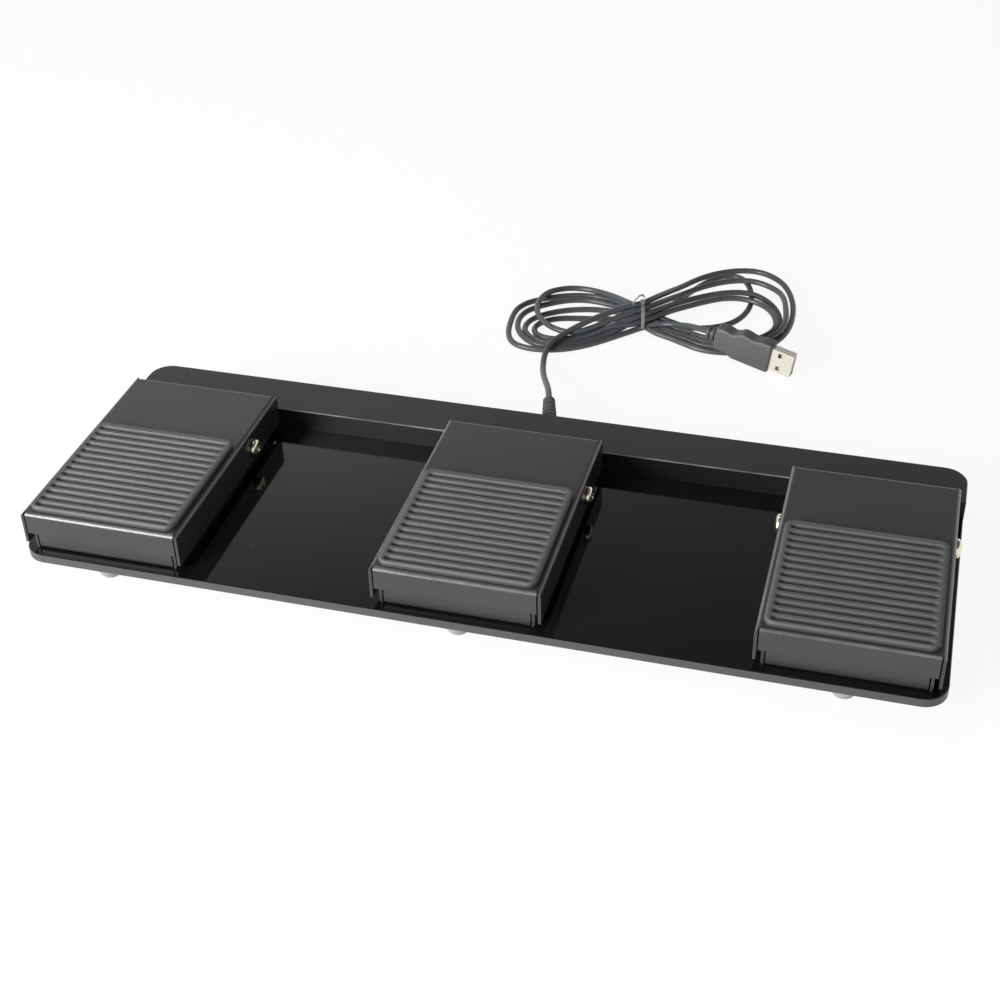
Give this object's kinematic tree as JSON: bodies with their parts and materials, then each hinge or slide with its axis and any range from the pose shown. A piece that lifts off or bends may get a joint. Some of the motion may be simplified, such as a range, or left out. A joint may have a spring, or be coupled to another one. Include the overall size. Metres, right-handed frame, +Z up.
{
  "type": "foot pedal switch",
  "caption": "Low foot switch: sprung sheet-metal pedals with ribbed rubber pads on a glossy black base, a flat rear housing and a USB cord tied in a figure-eight.",
  "frame": {"origin": "on the surface the feet stand on, below the middle of the base plate", "axes": "+X along the base to the right, +Y from the pedal toes to the rear housing and cord, +Z up"},
  "size_m": [0.38, 0.3347, 0.0308],
  "materials": {
    "acrylic": "polished",
    "foot_rubber": "translucent dome",
    "housing": "satin",
    "pedal_paint": "semi-gloss black",
    "pad_rubber": "ribbed",
    "steel": "zinc plated",
    "nickel": "nickel plated",
    "nylon": "natural",
    "spring_steel": "drawn wire",
    "black_plastic": "moulded",
    "white_plastic": "moulded",
    "plunger_plastic": "moulded",
    "board": "solder mask",
    "lead": "smooth sleeve",
    "cord": "satin sleeve",
    "cord_moulding": "satin moulding",
    "tie_plastic": "flat strip",
    "plug_metal": "plated shell",
    "contacts": "gold plated"
  },
  "bodies": {
    "base": {"base_plate": "acrylic", "rubber_feet": "foot_rubber", "rear_housing": "housing", "housing_screws": "steel", "tray_screws": "steel", "tray_nuts": "steel", "pivot_screws": "nickel", "pivot_nuts": "steel", "pivot_spacers": "nylon", "switch_screws": "steel", "control_board": "board", "processor_chip": "black_plastic", "board_sockets": "white_plastic", "board_screws": "steel", "inner_cord": "cord", "strain_relief": "cord_moulding", "usb_cord": "cord", "cord_hank": "cord", "plug_cord": "cord", "cord_tie": "tie_plastic", "plug_body": "cord_moulding", "plug_shell": "plug_metal", "plug_tongue": "white_plastic", "plug_contacts": "contacts", "pedal_tray_left": "pedal_paint", "return_spring_left": "spring_steel", "switch_case_left": "black_plastic", "switch_bracket_left": "steel", "switch_lead_left": "lead", "pedal_tray_middle": "pedal_paint", "return_spring_middle": "spring_steel", "switch_case_middle": "black_plastic", "switch_bracket_middle": "steel", "switch_lead_middle": "lead", "pedal_tray_right": "pedal_paint", "return_spring_right": "spring_steel", "switch_case_right": "black_plastic", "switch_bracket_right": "steel", "switch_lead_right": "lead"},
    "pedal_left": {"pedal_cover_left": "pedal_paint", "rubber_pad_left": "pad_rubber"},
    "plunger_left": {"switch_plunger_left": "plunger_plastic"},
    "pedal_middle": {"pedal_cover_middle": "pedal_paint", "rubber_pad_middle": "pad_rubber"},
    "plunger_middle": {"switch_plunger_middle": "plunger_plastic"},
    "pedal_right": {"pedal_cover_right": "pedal_paint", "rubber_pad_right": "pad_rubber"},
    "plunger_right": {"switch_plunger_right": "plunger_plastic"}
  },
  "joints": [
    {"name": "pedal_left_press", "type": "hinge", "parent": "base", "child": "pedal_left", "pos_m": [-0.152, 0.0121, 0.0193], "axis": [1, 0, 0], "range_deg": [0, 2.7], "stiffness_Nm_per_rad": 5, "springref_deg": -3.44, "deforming": ["return_spring_left"]},
    {"name": "plunger_left_slide", "type": "slide", "parent": "base", "child": "plunger_left", "axis": [0, 0, -1], "range_m": [0, 0.00095]},
    {"name": "pedal_middle_press", "type": "hinge", "parent": "base", "child": "pedal_middle", "pos_m": [0, 0.0121, 0.0193], "axis": [1, 0, 0], "range_deg": [0, 2.7], "stiffness_Nm_per_rad": 5, "springref_deg": -3.44, "deforming": ["return_spring_middle"]},
    {"name": "plunger_middle_slide", "type": "slide", "parent": "base", "child": "plunger_middle", "axis": [0, 0, -1], "range_m": [0, 0.00095]},
    {"name": "pedal_right_press", "type": "hinge", "parent": "base", "child": "pedal_right", "pos_m": [0.152, 0.0121, 0.0193], "axis": [1, 0, 0], "range_deg": [0, 2.7], "stiffness_Nm_per_rad": 5, "springref_deg": -3.44, "deforming": ["return_spring_right"]},
    {"name": "plunger_right_slide", "type": "slide", "parent": "base", "child": "plunger_right", "axis": [0, 0, -1], "range_m": [0, 0.00095]}
  ],
  "couplings": [
    {"joint": "plunger_left_slide", "follows": "pedal_left_press", "m_per_rad": 0.02},
    {"joint": "plunger_middle_slide", "follows": "pedal_middle_press", "m_per_rad": 0.02},
    {"joint": "plunger_right_slide", "follows": "pedal_right_press", "m_per_rad": 0.02}
  ]
}
